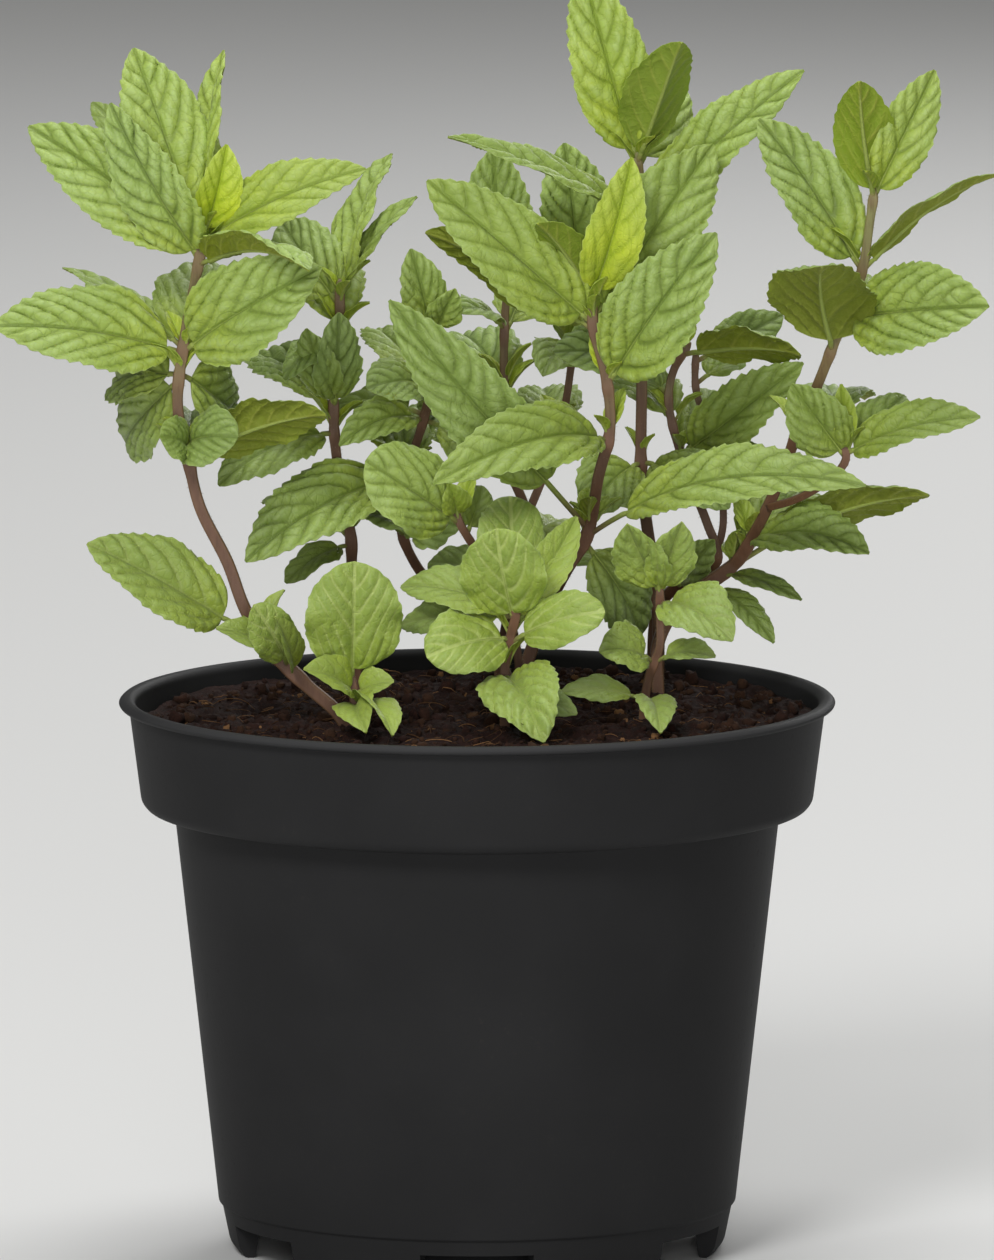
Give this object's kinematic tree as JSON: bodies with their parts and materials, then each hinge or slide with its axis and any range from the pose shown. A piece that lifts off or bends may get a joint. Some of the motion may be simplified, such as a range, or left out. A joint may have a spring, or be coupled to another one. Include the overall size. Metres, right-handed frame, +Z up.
{
  "type": "potted mint plant",
  "caption": "Young mint plant with toothed, deeply veined leaves on upright square stems, growing in a round black nursery pot filled with peat soil.",
  "frame": {"origin": "centre of the pot's base, on the ground", "axes": "+Z up along the pot's axis, -Y towards the front of the plant, +X to the right seen from the front"},
  "size_m": [0.1814, 0.1371, 0.2311],
  "materials": {
    "pot_plastic": "satin black moulded polypropylene",
    "peat": "dark crumbly peat, matt",
    "mint": "soft green leaves with fine hairs, on brown-purple stems"
  },
  "bodies": {
    "root": {"pot": "pot_plastic", "soil": "peat", "shoot_left_tall": "mint", "shoot_left_back": "mint", "shoot_middle_left": "mint", "shoot_middle_round": "mint", "shoot_back": "mint", "shoot_middle_tall": "mint", "shoot_centre_tallest": "mint", "shoot_right_tall": "mint", "shoot_right_back": "mint", "shoot_front_right": "mint", "shoot_front_middle": "mint", "shoot_front_left": "mint"}
  },
  "joints": []
}
